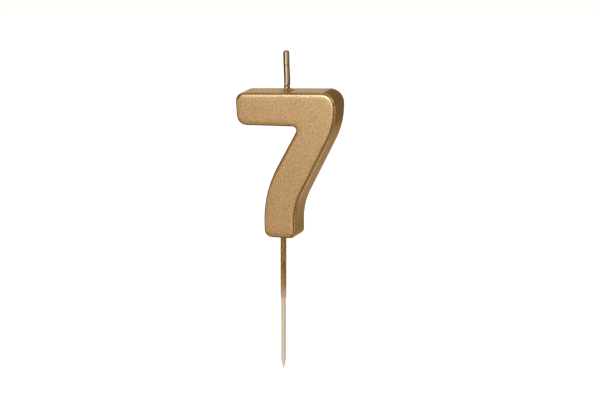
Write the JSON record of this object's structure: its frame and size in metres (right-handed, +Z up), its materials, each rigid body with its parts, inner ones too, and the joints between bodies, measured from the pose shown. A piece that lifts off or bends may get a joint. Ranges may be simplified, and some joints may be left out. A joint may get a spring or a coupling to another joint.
{
  "type": "number birthday candle",
  "caption": "Figure-seven birthday candle in satin gold lacquer, with a stiff twisted wick in its arm and a pointed wooden pick under its foot to push into a cake.",
  "frame": {"origin": "on the pick's axis, at the flat underside of the figure's foot", "axes": "+Z up along the pick's axis to the wick, +X to the right as the figure is read from the front, +Y from the figure's front face to its back face"},
  "size_m": [0.0401, 0.0134, 0.1244],
  "materials": {
    "wax": "matte",
    "gold_lacquer": "satin",
    "wick_cotton": "matte",
    "wick_lacquer": "gloss",
    "pick_wood": "matte",
    "pick_lacquer": "satin"
  },
  "bodies": {
    "root": {"wax_core": "wax", "gold_coat": "gold_lacquer", "wick_strand_1": "wick_cotton", "wick_strand_2": "wick_cotton", "wick_strand_3": "wick_cotton", "wick_coat": "wick_lacquer", "wick_collar": "wick_lacquer", "pick": "pick_wood", "pick_coat": "pick_lacquer"}
  },
  "joints": []
}
